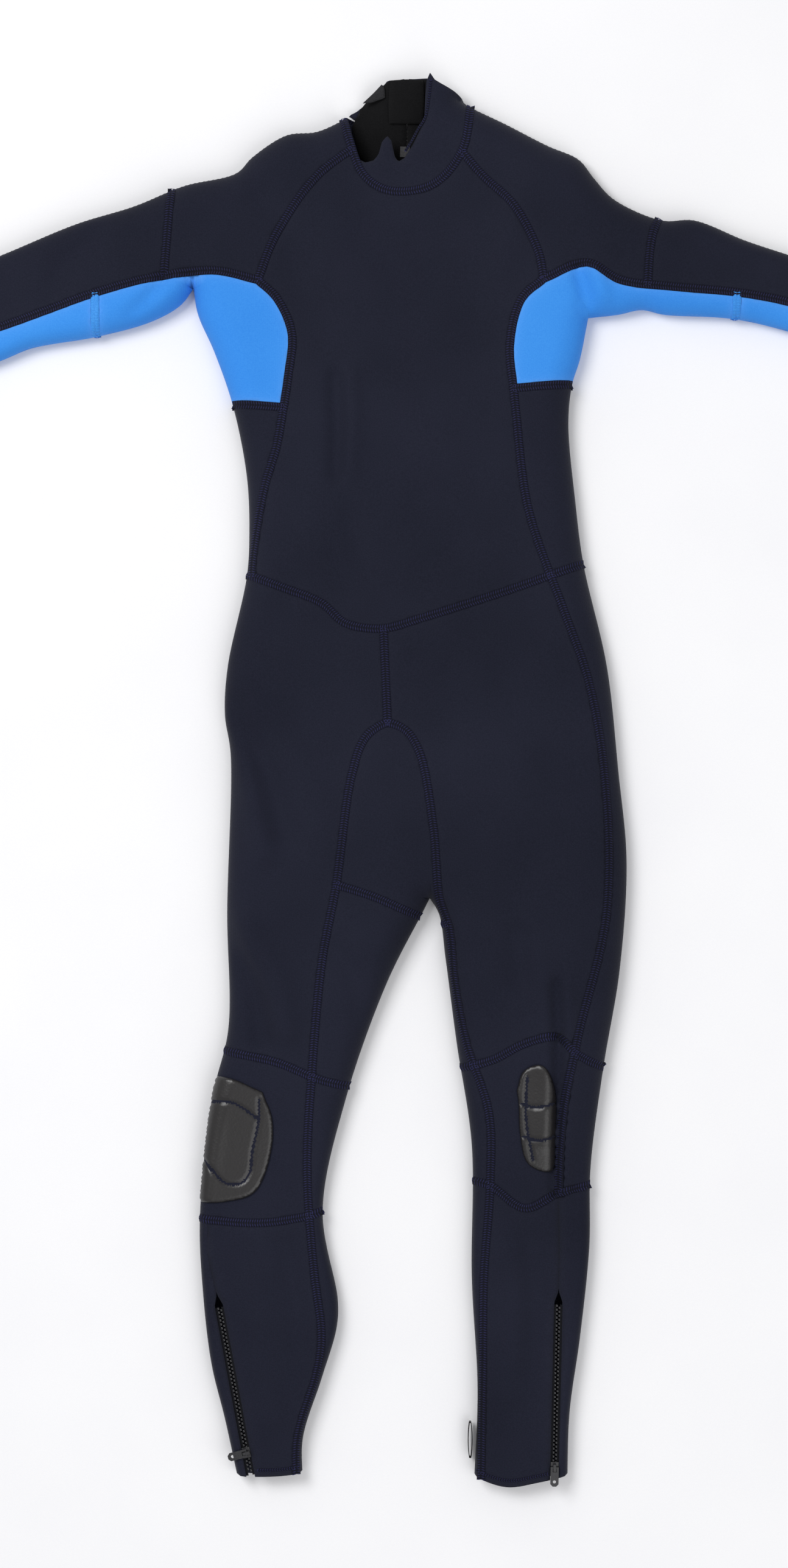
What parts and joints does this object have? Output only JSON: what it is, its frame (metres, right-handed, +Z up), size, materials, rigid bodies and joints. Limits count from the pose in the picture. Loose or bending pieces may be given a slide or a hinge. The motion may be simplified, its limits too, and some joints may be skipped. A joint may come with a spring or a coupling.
{
  "type": "full wetsuit",
  "caption": "Junior back-zip full wetsuit in navy with blue underarm panels, lying flat on its back, with zipped ankles and rubber knee pads.",
  "frame": {"origin": "middle of the underside of the lying suit's box", "axes": "+X to the wearer's left, +Y from the ankles to the collar, +Z up out of the front of the suit"},
  "size_m": [1.0958, 1.2066, 0.03],
  "materials": {
    "navy_neoprene": "matt knit",
    "blue_neoprene": "matt knit",
    "knee_rubber": "grained satin",
    "black_lining": "matt",
    "zip_plastic": "satin",
    "zip_tape": "matt weave",
    "hook_fabric": "matt"
  },
  "bodies": {
    "suit": {"chest_panel": "navy_neoprene", "back_panel_right": "navy_neoprene", "back_panel_left": "navy_neoprene", "shoulder_right": "navy_neoprene", "shoulder_left": "navy_neoprene", "forearm_right": "navy_neoprene", "forearm_left": "navy_neoprene", "underarm_right": "blue_neoprene", "underarm_left": "blue_neoprene", "forearm_under_right": "blue_neoprene", "forearm_under_left": "blue_neoprene", "side_panel_right": "navy_neoprene", "side_panel_left": "navy_neoprene", "crotch_gusset": "navy_neoprene", "front_thigh_right": "navy_neoprene", "front_thigh_left": "navy_neoprene", "back_thigh_right": "navy_neoprene", "back_thigh_left": "navy_neoprene", "knee_panel_right": "navy_neoprene", "knee_panel_left": "navy_neoprene", "knee_back_right": "navy_neoprene", "knee_back_left": "navy_neoprene", "inner_thigh_right": "navy_neoprene", "inner_thigh_left": "navy_neoprene", "inner_knee_right": "navy_neoprene", "inner_knee_left": "navy_neoprene", "inner_calf_right": "navy_neoprene", "inner_calf_left": "navy_neoprene", "shin_right": "navy_neoprene", "shin_left": "navy_neoprene", "calf_right": "navy_neoprene", "calf_left": "navy_neoprene", "knee_pad_right": "knee_rubber", "knee_pad_left": "knee_rubber", "neck_band_front": "navy_neoprene", "neck_band_back_right": "navy_neoprene", "neck_band_back_left": "navy_neoprene", "neck_lining_right": "black_lining", "neck_lining_left": "black_lining", "hook_tab": "hook_fabric", "ankle_zip_right_tape_outer": "zip_tape", "ankle_zip_right_teeth_outer": "zip_plastic", "ankle_zip_right_tape_inner": "zip_tape", "ankle_zip_right_teeth_inner": "zip_plastic", "ankle_zip_left_tape_outer": "zip_tape", "ankle_zip_left_teeth_outer": "zip_plastic", "ankle_zip_left_tape_inner": "zip_tape", "ankle_zip_left_teeth_inner": "zip_plastic", "back_zip_tape_outer": "zip_tape", "back_zip_teeth_outer": "zip_plastic", "back_zip_tape_inner": "zip_tape", "back_zip_teeth_inner": "zip_plastic", "ankle_loop": "zip_tape"},
    "ankle_slider_right": {"ankle_zip_right_slider": "zip_plastic"},
    "ankle_pull_right": {"ankle_zip_right_pull": "zip_plastic"},
    "ankle_slider_left": {"ankle_zip_left_slider": "zip_plastic"},
    "ankle_pull_left": {"ankle_zip_left_pull": "zip_plastic"},
    "back_slider": {"back_zip_slider": "zip_plastic"},
    "back_pull": {"back_zip_pull": "zip_plastic"},
    "collar_flap": {"neck_flap": "black_lining"}
  },
  "joints": [
    {"name": "ankle_zip_right", "type": "slide", "parent": "suit", "child": "ankle_slider_right", "axis": [-0.1829, 0.9831, 0], "range_m": [0, 0.115]},
    {"name": "ankle_pull_right_swing", "type": "hinge", "parent": "ankle_slider_right", "child": "ankle_pull_right", "pos_m": [-0.13051, -0.57459, 0.02085], "axis": [-0.252, 0.9677, 0], "range_deg": [0, 150]},
    {"name": "ankle_zip_left", "type": "slide", "parent": "suit", "child": "ankle_slider_left", "axis": [0.0232, 0.9997, 0], "range_m": [0, 0.12]},
    {"name": "ankle_pull_left_swing", "type": "hinge", "parent": "ankle_slider_left", "child": "ankle_pull_left", "pos_m": [0.13331, -0.58726, 0.02085], "axis": [-0.9997, 0.0232, 0], "range_deg": [0, 165]},
    {"name": "back_zip", "type": "slide", "parent": "suit", "child": "back_slider", "axis": [-0.0285, -0.9996, 0], "range_m": [0, 0.27]},
    {"name": "back_pull_swing", "type": "hinge", "parent": "back_slider", "child": "back_pull", "pos_m": [0.00525, 0.53975, 0.00615], "axis": [0.9996, -0.0285, 0], "range_deg": [0, 165]},
    {"name": "collar_flap_fold", "type": "hinge", "parent": "suit", "child": "collar_flap", "pos_m": [0.02215, 0.58224, 0.0144], "axis": [0, 1, 0], "range_deg": [0, 85]}
  ]
}
